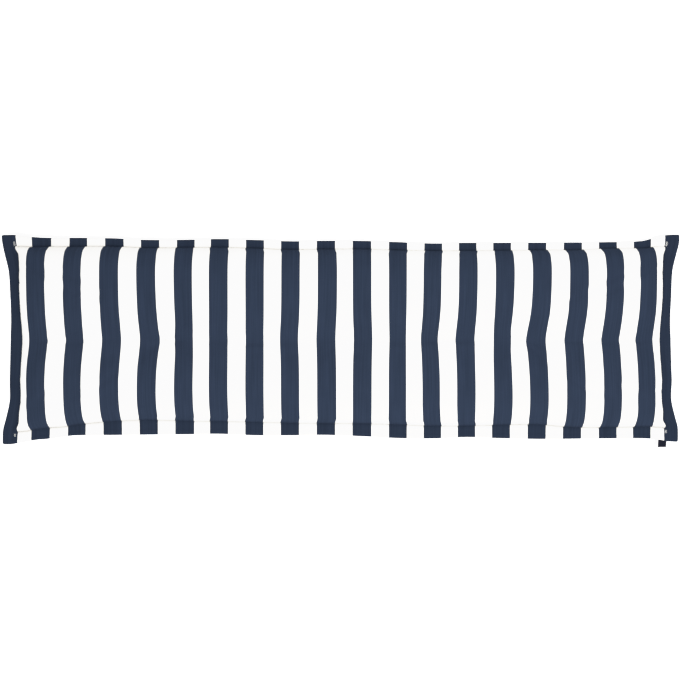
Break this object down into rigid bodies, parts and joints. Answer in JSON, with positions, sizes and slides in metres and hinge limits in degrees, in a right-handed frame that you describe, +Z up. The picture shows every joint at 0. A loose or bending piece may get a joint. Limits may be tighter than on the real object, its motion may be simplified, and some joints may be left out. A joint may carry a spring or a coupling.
{
  "type": "bench cushion",
  "caption": "Long filled bench cushion with a striped woven cover, a flat stitched border all round, tufts stitched through along a middle furrow, and a folded side label.",
  "frame": {"origin": "on the resting plane, under the middle of the part's box", "axes": "+X along the cushion's length, +Y to the back long edge, +Z up out of the face that is seen"},
  "size_m": [1.5016, 0.4712, 0.0571],
  "materials": {
    "striped_cloth": "matte plain weave, white with navy block stripes",
    "label_cloth": "close navy satin weave",
    "light_thread": "twisted sewing thread",
    "dark_thread": "twisted sewing thread"
  },
  "bodies": {
    "root": {"cushion": "striped_cloth", "side_label": "label_cloth"}
  },
  "joints": []
}
